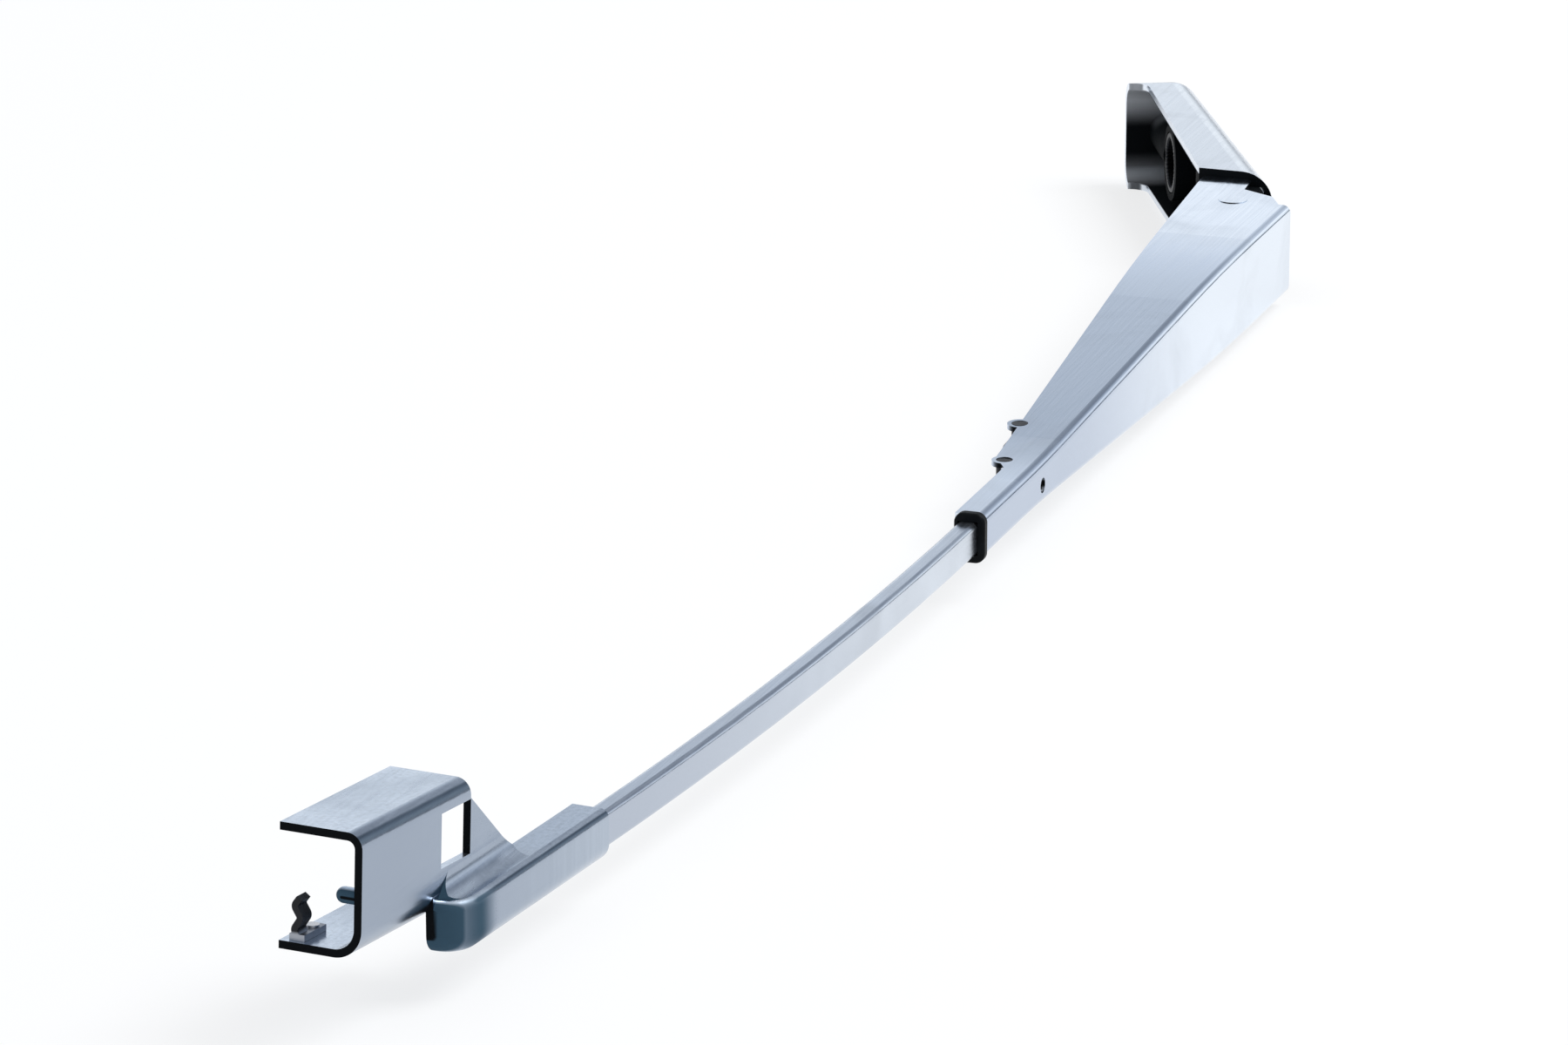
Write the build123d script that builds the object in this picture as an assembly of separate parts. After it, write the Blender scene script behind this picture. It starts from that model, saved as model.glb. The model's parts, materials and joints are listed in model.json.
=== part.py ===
from build123d import *
import math
import os

# Windscreen wiper arm lying on its side, relaxed by its spring.
# Millimetres. +X runs along the arm towards the blade, +Y points away from the glass,
# +Z is up and parallel to the hinge pin. The origin is the centre of the hub bore.

# Head casting
HEAD_BEND = 25.0          # turn of the head towards the glass when the spring is relaxed, degrees
HUB_TO_HINGE = 57.0       # hub axis to hinge axis along the head
HINGE_DROP = 1.4          # hinge axis lies this much nearer to the glass than the bore's centre
HEAD_WIDTH = 17.6         # at the hinge
END_WIDTH = 20.2          # at the free end
HEAD_END = 24.0           # hub axis to the head's free end
HEAD_RIM = 4.4            # bore's centre to the side walls' rim on the glass side
END_LIP = 3.3             # end wall reaches this much past the side walls' rim
LIP_LENGTH = 4.0          # length of the lip's sides from the free end
HEAD_CROWN = 8.2          # bore's centre line to the outer face at the hinge
END_CROWN = 5.0           # bore's centre line to the outer face at the free end
HEAD_WALL = 1.3
HEAD_CORNER = 4.5         # plan radius of the free end's corners
HEAD_SHOULDER = 5.0       # radius between the outer face and the sides
HUB_BORE = 8.4
BUSH_WALL = 1.4
BUSH_LENGTH = 6.4
BOSS_WALL = 1.3
FIXED_GAP = 0.02          # radial gap of pieces that are pressed or riveted together

# Clamping screw of the hub
SCREW_DIAMETER = 4.0
SCREW_SLOT = 0.8
SCREW_SLOT_DEPTH = 1.0
SCREW_BOSS_WALL = 1.5
SCREW_CLEAR = 0.1         # screw tip stops short of the bore
SCREW_RECESS = 1.6        # slotted end lies inside the free end's face

# Hinge
PIN_DIAMETER = 5.0
PIN_RUNNING_GAP = 0.04
PIN_PEEN = 0.12           # peened end stands proud of the ear
EAR_END = 15.0            # hinge axis to the ears' straight ends
EAR_TOP = 0.6             # straight ends stop this far short of the hinge axis
EAR_STEP = 7.6            # ears step back from there to this distance, level with the hinge axis
EAR_SLOPE_X = 4.2         # and slope to a point before the web's end
EAR_SLOPE_Y = 6.0
EAR_CORNER = 1.6
WASHER_THICKNESS = 0.5
WASHER_RADIUS = 4.4
WASHER_GAP = 0.05
KNUCKLE_RADIUS = 8.0
BRIDGE_LOW = 6.2          # bridge from the shoulder to the knuckle, each side of the hinge axis
BRIDGE_HIGH = 1.5
STOP_GAP = 0.06           # head's shoulder to the ears' ends when relaxed

# Channel, folded from sheet
SHEET = 0.8
BEND_RADIUS = 1.4         # outside radius of the folds
WEB_HEIGHT = 10.5         # hinge axis to the web's outer face
WEB_END = 0.5             # web stops this far from the hinge axis
CHANNEL_WIDTH = 15.7
PARALLEL_END = 44.0       # hinge axis to where the taper starts
TAPER_END = 147.7         # hinge axis to where the narrow neck starts
NECK_END = 177.6          # hinge axis to the neck's mouth
WALL_DEPTH_HEAD = 19.9    # side walls at the ears' ends
WALL_DEPTH_NECK = 7.6     # side walls where the neck starts
KINK_RADIUS = 900.0       # plan radius where the taper starts
NECK_BLEND = 500.0        # plan radius where the neck starts
NECK_LEAD = 5.0           # length over which the walls drop to the neck
LIP_SETBACK = 8.0         # rolled edges start this far past that drop
LIP_GAP = 2.4             # seam between the neck's rolled edges
LUG_RADIUS = 2.0

# Bar
BAR_WIDTH = 5.2
BAR_THICKNESS = 3.2
BAR_EDGE = 0.8
BAR_ARC_LENGTH = 144.4
BAR_TURN = 6.35           # whole turn of the bar towards the glass, degrees
BAR_TAIL = 55.4           # length inside the channel
BAR_GAP = 0.03
COLLAR_LENGTH = 1.4
COLLAR_WALL = 1.1         # on the bar's outer side
COLLAR_BACK = 0.6         # on its glass side
COLLAR_RISE = 1.3         # on its narrow sides
COLLAR_CORNER = 1.6
COLLAR_EDGE = 0.4

# Cross pins and web rivet of the channel
ANCHOR_STATION = 131.0    # spring anchor, from the hinge axis
ANCHOR_HEIGHT = 1.6
ANCHOR_DIAMETER = 2.6
BAR_PIN_STATION = 148.8   # pin behind the bar
BAR_PIN_DIAMETER = 2.6
BAR_PIN_GAP = 0.6
WEB_RIVET_STATION = 147.7
WEB_RIVET_DROP = 0.4      # rivet's axis below the bar's mid plane
WEB_RIVET_DIAMETER = 2.4
WEB_RIVET_SINK = 0.45     # rivet's end lies inside the web's outer face

# Spring
LEVER = 5.6               # hinge axis to the head's spring pin
SPRING_PIN_DIAMETER = 2.8
WIRE = 1.3
COIL_DIAMETER = 7.2
COIL_PITCH = 2.9
COIL_TURNS = 17
COIL_START = 44.0         # anchor pin to the coil's first turn
COIL_RISE = 2.6           # coil's axis lies nearer to the web than the line between the pins
HOOK_JOG = 5.0            # length over which the hook's wire meets the coil
JOINT_SWELL = 1.08        # formed bend between coil and hook, over the wire
HOOK_GAP = 0.06
HOOK_SLOT_GAP = 0.6       # slot in the knuckle beside the wire

# Blade clip, folded from sheet
CLIP_SHEET = 1.1
SLEEVE_LENGTH = 42.0
SLEEVE_NOSE = 5.0         # rounding of the sleeve's closed end
SLEEVE_EDGE = 1.25        # rounding of the sleeve's upper fold
SLEEVE_LOWER_EDGE = 2.7   # rounding of the sleeve's lower fold
SLEEVE_BLEND = 3.0        # hollow radius between the sleeve and the gusset
BLEND_RUN = 3.0           # length over which that blend runs out before the nose
SLEEVE_BOTTOM = 3.2       # closed end's wall
SADDLE_OVERLAP = 10.5     # saddle's rear end to the sleeve's closed end
SADDLE_LENGTH = 29.6
SADDLE_WIDTH = 16.8
SADDLE_DEPTH = 11.9
SADDLE_TILT = 3.6         # saddle's turn in the plane of the glass, degrees
SADDLE_LIFT = 8.8         # bar's mid plane to the saddle's mid plane at its rear end
SADDLE_UPPER_BEND = 2.2
SADDLE_LOWER_BEND = 4.0
GUSSET_LENGTH = 10.8
GUSSET_HEIGHT = 4.9       # bar's mid plane to the gusset's low end
WINDOW_LENGTH = 8.1
WINDOW_HEIGHT = 7.4
WINDOW_DROP = 2.7         # saddle's upper edge to the window
PIP_RADIUS = 1.1          # pressed pip on the web's inner face
PIP_LENGTH = 3.3
PIP_INSET = 1.6
PIP_DROP = 0.4            # pip's middle below the saddle's mid plane

# Latch tongue of the saddle
TONGUE_SHEET = 0.9
TONGUE_WIDTH = 2.4
TONGUE_INSET = 1.8        # middle of the tongue's upright to the saddle's front end
TONGUE_OUT = 9.6          # tongue's upright to the web's outer face
TONGUE_HEIGHT = 5.2
TONGUE_SWAY = 1.0
TONGUE_BEND = 0.7
TONGUE_FOOT = 3.4         # foot's length behind the upright
TONGUE_FOOT_WIDTH = 2.2
LATCH_RIVET_DIAMETER = 1.2
LATCH_HEAD_DIAMETER = 1.9
LATCH_RIVET_HEAD = 0.3

# Places that follow from the sizes above
bend = math.radians(HEAD_BEND)
turn = math.radians(BAR_TURN)
hinge_x = HUB_TO_HINGE * math.cos(bend) + HINGE_DROP * math.sin(bend)
hinge_y = HUB_TO_HINGE * math.sin(bend) - HINGE_DROP * math.cos(bend)
head_place = Rot(0, 0, HEAD_BEND)
arm_place = Pos(hinge_x, hinge_y, 0)

half_channel = CHANNEL_WIDTH / 2
half_neck = BAR_WIDTH / 2 + BAR_GAP + SHEET
sleeve_high = BAR_WIDTH / 2 + BAR_GAP + CLIP_SHEET
web_inner = WEB_HEIGHT - SHEET
bar_outer = web_inner - BAR_GAP
bar_back = bar_outer - BAR_THICKNESS
neck_back = bar_back - BAR_GAP - SHEET
knuckle_half = half_channel - SHEET - WASHER_THICKNESS - 2 * WASHER_GAP
taper_slope = (half_channel - half_neck) / (TAPER_END - PARALLEL_END)

arc_radius = BAR_ARC_LENGTH / turn
tip_x = NECK_END + arc_radius * math.sin(turn)
tip_y = bar_outer - arc_radius * (1 - math.cos(turn))
tip_place = arm_place * Pos(tip_x, tip_y, 0) * Rot(0, 0, -BAR_TURN)
seat_outer = -BAR_THICKNESS - BAR_GAP
saddle_start = SLEEVE_LENGTH - SADDLE_OVERLAP
saddle_seat = Pos(saddle_start, seat_outer, SADDLE_LIFT) * Rot(0, -SADDLE_TILT, 0)
saddle_place = tip_place * saddle_seat


def half_width(station):
    """Channel's outer half width on its taper."""
    return half_channel - taper_slope * (station - PARALLEL_END)


def cross_pin(x, y, diameter, low, high):
    """Round pin parallel to +Z between two heights."""
    return Pos(x, y, (low + high) / 2) * Cylinder(diameter / 2, high - low)


def flush_pin(x, y, diameter):
    """Pin across the channel, riveted flush with its walls."""
    reach = max(half_width(x), half_neck)
    return cross_pin(x, y, diameter, -reach, reach)


def head_block(inset):
    """Head's outer form, or its hollow when inset: rising outer face, rounded end and shoulders."""
    end = -HEAD_END + inset
    low = -HEAD_RIM - END_LIP - inset
    outline = Polyline(
        (end, low), (end, END_CROWN - inset), (HUB_TO_HINGE, HEAD_CROWN - inset), (HUB_TO_HINGE, low),
        close=True,
    )
    sides = Polyline(
        (-HEAD_END, END_WIDTH / 2 - inset), (HUB_TO_HINGE, HEAD_WIDTH / 2 - inset),
        (HUB_TO_HINGE, inset - HEAD_WIDTH / 2), (-HEAD_END, inset - END_WIDTH / 2),
        close=True,
    )
    seen_from_above = Plane(origin=(0, 0, 0), x_dir=(1, 0, 0), z_dir=(0, -1, 0))
    sides = extrude(seen_from_above * make_face(sides), HUB_TO_HINGE, both=True)
    block = extrude(make_face(outline), END_WIDTH, both=True) & sides
    end_corners = block.edges().filter_by(Axis.Y).sort_by(Axis.X)[:2]
    block = fillet(end_corners, HEAD_CORNER - inset)
    outer_face = block.faces().sort_by(Axis.Y)[-1]
    rim = [e for e in outer_face.edges() if e.center().X < HUB_TO_HINGE - 0.1]
    return fillet(rim, HEAD_SHOULDER - inset)


def head_shell():
    """Cast head: open underside, end lip, hub boss, screw boss, slanted shoulder and the slotted knuckle."""
    hinge = Pos(HUB_TO_HINGE, -HINGE_DROP, 0)
    reach = 4 * HEAD_WIDTH
    in_arm = head_place.inverse() * arm_place
    shoulder = EAR_END + STOP_GAP
    past_shoulder = in_arm * Pos(reach / 2 - shoulder, 0, 0) * Box(reach, reach, reach)
    rim_cut = Pos(reach / 2 - HEAD_END + LIP_LENGTH, -HEAD_RIM - reach / 2, 0) * Box(reach, reach, reach)
    lip_corner = rim_cut.edges().filter_by(Axis.Z).sort_by(Axis.X)[:2].sort_by(Axis.Y)[-1]
    outside = head_block(0) - fillet([lip_corner], END_LIP) - past_shoulder

    front = HUB_TO_HINGE - (shoulder + HEAD_RIM * math.sin(bend)) / math.cos(bend) - 2 * HEAD_WALL
    in_bay = Pos(front - reach / 2, 0, 0) * Box(reach, reach, reach)
    bay = head_block(HEAD_WALL) & in_bay
    boss_radius = HUB_BORE / 2 + BUSH_WALL + BOSS_WALL
    boss_low = -BUSH_LENGTH / 2
    boss = Pos(0, (boss_low + HEAD_CROWN) / 2, 0) * Rot(90, 0, 0)
    boss = boss * Cylinder(boss_radius, HEAD_CROWN - boss_low)
    screw_boss_radius = SCREW_DIAMETER / 2 + SCREW_BOSS_WALL
    screw_boss = Pos(-HEAD_END / 2, 0, 0) * Rot(0, 90, 0) * Cylinder(screw_boss_radius, HEAD_END)
    screw_boss += Pos(-HEAD_END / 2, HEAD_CROWN / 2, 0) * Box(HEAD_END, HEAD_CROWN, 2 * screw_boss_radius)
    body = outside - bay + ((boss + screw_boss) & outside)

    root = shoulder + HEAD_WALL
    bridge = Pos(-root / 2, (BRIDGE_HIGH - BRIDGE_LOW) / 2, 0)
    bridge = in_arm * bridge * Box(root, BRIDGE_HIGH + BRIDGE_LOW, 2 * knuckle_half)
    body = body + bridge + hinge * Cylinder(KNUCKLE_RADIUS, 2 * knuckle_half)

    slot_width = WIRE + 2 * HOOK_SLOT_GAP
    slot_back = KNUCKLE_RADIUS * 0.6
    slot_length = slot_back + 4 * KNUCKLE_RADIUS
    slot = hinge * Pos(slot_length / 2 - slot_back, 0, 0) * Box(slot_length, 6 * KNUCKLE_RADIUS, slot_width)
    body -= slot
    body -= hinge * Cylinder(PIN_DIAMETER / 2 + PIN_RUNNING_GAP, 2 * HEAD_WIDTH)
    body -= hinge * Pos(0, -LEVER, 0) * Cylinder(SPRING_PIN_DIAMETER / 2 + FIXED_GAP, 2 * HEAD_WIDTH)

    bush_seat = HUB_BORE / 2 + BUSH_WALL + FIXED_GAP
    seat_high = BUSH_LENGTH / 2 + FIXED_GAP
    body -= Pos(0, seat_high - HEAD_CROWN, 0) * Rot(90, 0, 0) * Cylinder(bush_seat, 2 * HEAD_CROWN)
    screw_hole = Rot(0, 90, 0) * Cylinder(SCREW_DIAMETER / 2 + FIXED_GAP, HEAD_END + 2)
    body -= Pos(-(HEAD_END + 2) / 2, 0, 0) * screw_hole
    return body


def hub_bush():
    """Sleeve that grips the drive spindle, with a cross hole for the clamping screw."""
    bush = Rot(90, 0, 0) * Cylinder(HUB_BORE / 2 + BUSH_WALL, BUSH_LENGTH)
    bush -= Rot(90, 0, 0) * Cylinder(HUB_BORE / 2, 2 * BUSH_LENGTH)
    side = Rot(0, 90, 0) * Cylinder(SCREW_DIAMETER / 2 + FIXED_GAP, HUB_BORE)
    return bush - Pos(-HUB_BORE / 2 - BUSH_WALL, 0, 0) * side


def clamp_screw():
    """Headless screw along the head, slotted at the free end."""
    tip = -HUB_BORE / 2 - SCREW_CLEAR
    end = -HEAD_END + SCREW_RECESS
    screw = Pos((tip + end) / 2, 0, 0) * Rot(0, 90, 0) * Cylinder(SCREW_DIAMETER / 2, tip - end)
    return screw - Pos(end, 0, 0) * Box(2 * SCREW_SLOT_DEPTH, 2 * SCREW_DIAMETER, SCREW_SLOT)


def hinge_pin():
    """Pin peened into the channel's ears, free in the head's knuckle."""
    reach = half_channel + PIN_PEEN
    return cross_pin(0, 0, PIN_DIAMETER, -reach, reach)


def hinge_washer(side):
    """Thin washer between one ear and the knuckle."""
    washer = Cylinder(WASHER_RADIUS, WASHER_THICKNESS)
    washer -= Cylinder(PIN_DIAMETER / 2 + PIN_RUNNING_GAP, 2 * WASHER_THICKNESS)
    return Pos(0, 0, side * (knuckle_half + WASHER_GAP + WASHER_THICKNESS / 2)) * washer


def channel_prism(inset, start, depth):
    """Channel's plan outline drawn down from the web, inset by the sheet for the inside."""
    wide = half_channel - inset
    thin = half_neck - inset
    top = WEB_HEIGHT - inset
    plane = Plane(origin=(0, top, 0), x_dir=(1, 0, 0), z_dir=(0, -1, 0))
    finish = NECK_END + inset
    outline = Polyline(
        (start, wide), (PARALLEL_END, wide), (TAPER_END, thin), (finish, thin),
        (finish, -thin), (TAPER_END, -thin), (PARALLEL_END, -wide), (start, -wide),
        close=True,
    )
    plan = make_face(outline)
    kinks = [v for v in plan.vertices() if abs(v.X - PARALLEL_END) < 0.01]
    plan = fillet(kinks, KINK_RADIUS)
    necks = [v for v in plan.vertices() if abs(v.X - TAPER_END) < 0.01]
    plan = fillet(necks, NECK_BLEND)
    prism = extrude(plane * plan, depth)
    folds = [e for e in prism.faces().sort_by(Axis.Y)[-1].edges() if abs(e.center().Z) > thin / 2]
    return fillet(folds, BEND_RADIUS - inset)


def channel_profile():
    """Side view of the channel: straight-ended ears, walls that grow shallower, lugs and the neck."""
    wall_low = WEB_HEIGHT - WALL_DEPTH_HEAD
    wall_neck = WEB_HEIGHT - WALL_DEPTH_NECK
    above = WEB_HEIGHT + 1
    outline = Polyline(
        (WEB_END, above), (NECK_END + 1, above), (NECK_END + 1, neck_back),
        (TAPER_END + NECK_LEAD, neck_back), (TAPER_END, wall_neck),
        (-EAR_END, wall_low), (-EAR_END, -EAR_TOP), (-EAR_STEP, 0), (-EAR_SLOPE_X, EAR_SLOPE_Y),
        (WEB_END, web_inner - BEND_RADIUS),
        close=True,
    )
    side = make_face(outline)
    corners = [v for v in side.vertices() if v.X < -EAR_END + 0.1]
    side = fillet(corners, EAR_CORNER)
    side += Pos(ANCHOR_STATION, ANCHOR_HEIGHT) * Circle(LUG_RADIUS)
    side += Pos(BAR_PIN_STATION, bar_pin_height()) * Circle(LUG_RADIUS)
    return extrude(side, CHANNEL_WIDTH, both=True)


def bar_pin_height():
    """Height of the pin that traps the bar against the web."""
    return bar_back - BAR_PIN_GAP - BAR_PIN_DIAMETER / 2


def web_rivet_shank(diameter, high):
    """Round shank through the bar towards the web, up to a height."""
    place = Pos(WEB_RIVET_STATION, (bar_back + high) / 2, -WEB_RIVET_DROP) * Rot(90, 0, 0)
    return place * Cylinder(diameter / 2, high - bar_back)


def arm_channel():
    """One folded sheet: web, two tapering walls with ears and lugs, and the neck rolled over the bar."""
    start = -EAR_END - 1
    depth = 2 * WALL_DEPTH_HEAD
    shell = channel_prism(0, start, depth) - channel_prism(SHEET, start - 1, depth)
    channel = shell & channel_profile()
    lip_start = TAPER_END + NECK_LEAD + LIP_SETBACK
    lip_width = half_neck - LIP_GAP / 2
    for side in (-1, 1):
        lip = Pos((lip_start + NECK_END) / 2, neck_back + SHEET / 2, side * (LIP_GAP + lip_width) / 2)
        channel += lip * Box(NECK_END - lip_start, SHEET, lip_width)
    holes = cross_pin(0, 0, PIN_DIAMETER + 2 * FIXED_GAP, -HEAD_WIDTH, HEAD_WIDTH)
    anchor_hole = ANCHOR_DIAMETER + 2 * FIXED_GAP
    holes += cross_pin(ANCHOR_STATION, ANCHOR_HEIGHT, anchor_hole, -HEAD_WIDTH, HEAD_WIDTH)
    bar_pin_hole = BAR_PIN_DIAMETER + 2 * FIXED_GAP
    holes += cross_pin(BAR_PIN_STATION, bar_pin_height(), bar_pin_hole, -HEAD_WIDTH, HEAD_WIDTH)
    holes += web_rivet_shank(WEB_RIVET_DIAMETER + 2 * FIXED_GAP, 2 * WEB_HEIGHT)
    return channel - holes


def arm_bar():
    """Flat bar: straight in the channel, one long arc towards the glass, straight in the sleeve."""
    centre = (NECK_END, bar_outer - arc_radius)
    inner_radius = arc_radius - BAR_THICKNESS
    tail = NECK_END - BAR_TAIL
    reach = SLEEVE_LENGTH - SLEEVE_BOTTOM - BAR_GAP
    along = Vector(math.cos(turn), -math.sin(turn))
    across = Vector(math.sin(turn), math.cos(turn))
    tip = Vector(tip_x, tip_y)
    tip_inner = tip - across * BAR_THICKNESS
    outline = [
        Line((tail, bar_outer), (NECK_END, bar_outer)),
        CenterArc(centre, arc_radius, 90, -BAR_TURN),
        Line(tip, tip + along * reach),
        Line(tip + along * reach, tip_inner + along * reach),
        Line(tip_inner + along * reach, tip_inner),
        CenterArc(centre, inner_radius, 90 - BAR_TURN, BAR_TURN),
        Line((NECK_END, bar_back), (tail, bar_back)),
        Line((tail, bar_back), (tail, bar_outer)),
    ]
    bar = extrude(make_face(outline), BAR_WIDTH / 2, both=True)
    edges = [e for e in bar.edges() if e.length > 2 * BAR_WIDTH]
    return fillet(edges, BAR_EDGE) - web_rivet_shank(WEB_RIVET_DIAMETER + 2 * FIXED_GAP, WEB_HEIGHT)


def web_rivet():
    """Rivet that holds the bar to the web, sunk in the web's outer face."""
    return web_rivet_shank(WEB_RIVET_DIAMETER, WEB_HEIGHT - WEB_RIVET_SINK)


def neck_collar():
    """Black ring round the bar at the neck's mouth."""
    tall = BAR_WIDTH + 2 * BAR_GAP
    deep = BAR_THICKNESS + 2 * BAR_GAP
    ring = Box(COLLAR_LENGTH, deep + COLLAR_WALL + COLLAR_BACK, tall + 2 * COLLAR_RISE)
    ring = fillet(ring.edges().filter_by(Axis.X), COLLAR_CORNER)
    ring = fillet(ring.faces().sort_by(Axis.X)[-1].edges(), COLLAR_EDGE)
    ring -= Pos(0, (COLLAR_BACK - COLLAR_WALL) / 2, 0) * Box(2 * COLLAR_LENGTH, deep, tall)
    x = NECK_END + FIXED_GAP + COLLAR_LENGTH / 2
    return Pos(x, bar_outer - (BAR_THICKNESS + COLLAR_BACK - COLLAR_WALL) / 2, 0) * ring


def spring_wire(path_points, radii):
    """Round wire along a flat path with rounded corners."""
    path = FilletPolyline(*path_points, radius=radii)
    return sweep(Plane(origin=path @ 0, z_dir=path % 0) * Circle(WIRE / 2), path=path)


def tension_spring():
    """Coil between two hooks, one on the channel's anchor pin and one on the head's spring pin."""
    anchor = Vector(ANCHOR_STATION, ANCHOR_HEIGHT, 0)
    lever_end = Vector(LEVER * math.sin(bend), -LEVER * math.cos(bend), 0)
    pull = lever_end - anchor
    frame = Plane(origin=anchor, x_dir=(-pull.Y, pull.X, 0), z_dir=pull)
    mean = (COIL_DIAMETER - WIRE) / 2
    side = mean - COIL_RISE
    coil_length = COIL_PITCH * COIL_TURNS
    coil_end = COIL_START + coil_length
    coil_path = Pos(-COIL_RISE, 0, COIL_START) * Helix(COIL_PITCH, coil_length, mean)
    section = Plane(origin=coil_path @ 0, z_dir=coil_path % 0) * Circle(WIRE / 2)
    spring = sweep(section, path=coil_path)
    for pin, pin_z, coil_z, way in (
        (ANCHOR_DIAMETER, 0, COIL_START, 1),
        (SPRING_PIN_DIAMETER, pull.length, coil_end, -1),
    ):
        loop = pin / 2 + HOOK_GAP + WIRE / 2
        points = [
            (-loop, 0, pin_z + way * loop * 0.6),
            (-loop, 0, pin_z - way * loop),
            (loop, 0, pin_z - way * loop),
            (loop, 0, coil_z - way * HOOK_JOG),
            (side, 0, coil_z),
        ]
        spring += Pos(side, 0, coil_z) * Sphere(WIRE * JOINT_SWELL / 2)
        spring += spring_wire(points, [loop * 0.97, loop * 0.97, WIRE])
    return frame.location * spring


def spring_pin():
    """Pin across the knuckle's slot that the spring pulls on."""
    return Pos(HUB_TO_HINGE, -HINGE_DROP - LEVER, 0) * Cylinder(SPRING_PIN_DIAMETER / 2, 2 * knuckle_half)


def saddle_section():
    """C section of the saddle, drawn as depth and height, open towards the glass."""
    half = SADDLE_WIDTH / 2
    outer = Polyline((-SADDLE_DEPTH, half), (0, half), (0, -half), (-SADDLE_DEPTH, -half), close=True)
    outer = make_face(outer)
    upper = [v for v in outer.vertices() if v.X > -0.1 and v.Y > 0]
    outer = fillet(upper, SADDLE_UPPER_BEND)
    lower = [v for v in outer.vertices() if v.X > -0.1 and v.Y < 0]
    outer = fillet(lower, SADDLE_LOWER_BEND)
    inside = half - CLIP_SHEET
    past = -SADDLE_DEPTH - 1
    inner = Polyline(
        (past, inside), (-CLIP_SHEET, inside), (-CLIP_SHEET, -inside), (past, -inside),
        close=True,
    )
    inner = make_face(inner)
    upper = [v for v in inner.vertices() if v.X > past + 0.1 and v.Y > 0]
    inner = fillet(upper, SADDLE_UPPER_BEND - CLIP_SHEET)
    lower = [v for v in inner.vertices() if v.X > past + 0.1 and v.Y < 0]
    inner = fillet(lower, SADDLE_LOWER_BEND - CLIP_SHEET)
    return outer - inner


def saddle_clip():
    """One folded sheet: sleeve round the bar's end, gusset, and the C-shaped saddle with its window."""
    along_x = Plane(origin=(0, 0, 0), x_dir=(0, 1, 0), z_dir=(1, 0, 0))
    saddle = extrude(along_x * saddle_section(), SADDLE_LENGTH)
    pip_reach = PIP_LENGTH - PIP_RADIUS
    pip = Pos(0, -pip_reach / 2, 0) * Rot(90, 0, 0) * Cylinder(PIP_RADIUS, pip_reach)
    pip += Pos(0, -pip_reach, 0) * Sphere(PIP_RADIUS)
    inside = Pos(0, -PIP_LENGTH, 0) * Box(4 * PIP_RADIUS, 2 * PIP_LENGTH, 4 * PIP_RADIUS)
    saddle += Pos(SADDLE_LENGTH - PIP_INSET, -CLIP_SHEET, -PIP_DROP) * (pip & inside)
    saddle -= tongue_rivet_hole()

    corner = SADDLE_LIFT + SADDLE_WIDTH / 2 - SADDLE_UPPER_BEND
    foot = SADDLE_LIFT - SADDLE_WIDTH / 2 + SADDLE_LOWER_BEND
    gusset_end = saddle_start - GUSSET_LENGTH
    overlap = saddle_start + SADDLE_UPPER_BEND
    gusset = Polyline(
        (gusset_end, 0), (gusset_end, GUSSET_HEIGHT), (saddle_start, corner),
        (overlap, corner), (overlap, foot), (SLEEVE_LENGTH, foot), (SLEEVE_LENGTH, 0),
        close=True,
    )
    back_plane = Plane(origin=(0, seat_outer, 0), x_dir=(1, 0, 0), z_dir=(0, -1, 0))
    gusset = extrude(back_plane * make_face(gusset), CLIP_SHEET)
    window_z = SADDLE_WIDTH / 2 - WINDOW_DROP - WINDOW_HEIGHT / 2
    window = Pos(WINDOW_LENGTH / 2, 0, window_z) * Box(WINDOW_LENGTH, 6 * CLIP_SHEET, WINDOW_HEIGHT)

    run_end = SLEEVE_LENGTH - SLEEVE_EDGE
    under_slope = Polyline(
        (gusset_end, 0), (gusset_end, GUSSET_HEIGHT), (saddle_start, corner), (run_end - BLEND_RUN, corner),
        (run_end - BLEND_RUN, sleeve_high + SLEEVE_BLEND), (run_end, sleeve_high), (run_end, 0),
        close=True,
    )
    under_slope = extrude(back_plane * make_face(under_slope), -2 * SLEEVE_LENGTH)
    blend = sleeve_blend() & sleeve_plan(SADDLE_WIDTH, SLEEVE_EDGE) & under_slope
    clip = saddle_seat * saddle + gusset - saddle_seat * window + sleeve() + blend
    bore_length = SLEEVE_LENGTH - SLEEVE_BOTTOM
    bore = Box(2 * bore_length, BAR_THICKNESS + 2 * BAR_GAP, BAR_WIDTH + 2 * BAR_GAP)
    return clip - Pos(0, -BAR_THICKNESS / 2, 0) * bore


def sleeve_plan(height, inset):
    """Sleeve's outline seen from above, rounded at its closed end, as tall as asked either way."""
    back = seat_outer - CLIP_SHEET
    front = BAR_GAP + CLIP_SHEET - inset
    end = SLEEVE_LENGTH - inset
    outline = make_face(Polyline((0, back), (0, front), (end, front), (end, back), close=True))
    nose = [v for v in outline.vertices() if v.X > end - 0.1 and v.Y > front - 0.1]
    return extrude(fillet(nose, SLEEVE_NOSE - inset), height, both=True)


def sleeve():
    """Flat tube round the bar's end with rounded folds and nose."""
    tube = sleeve_plan(sleeve_high, 0)
    back = seat_outer - CLIP_SHEET
    for face, radius in ((-1, SLEEVE_EDGE), (0, SLEEVE_LOWER_EDGE)):
        rim = tube.faces().sort_by(Axis.Z)[face].edges()
        folds = [e for e in rim if e.center().Y > back + 0.1 and e.center().X > 0.1]
        tube = fillet(folds, radius)
    return tube


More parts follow.
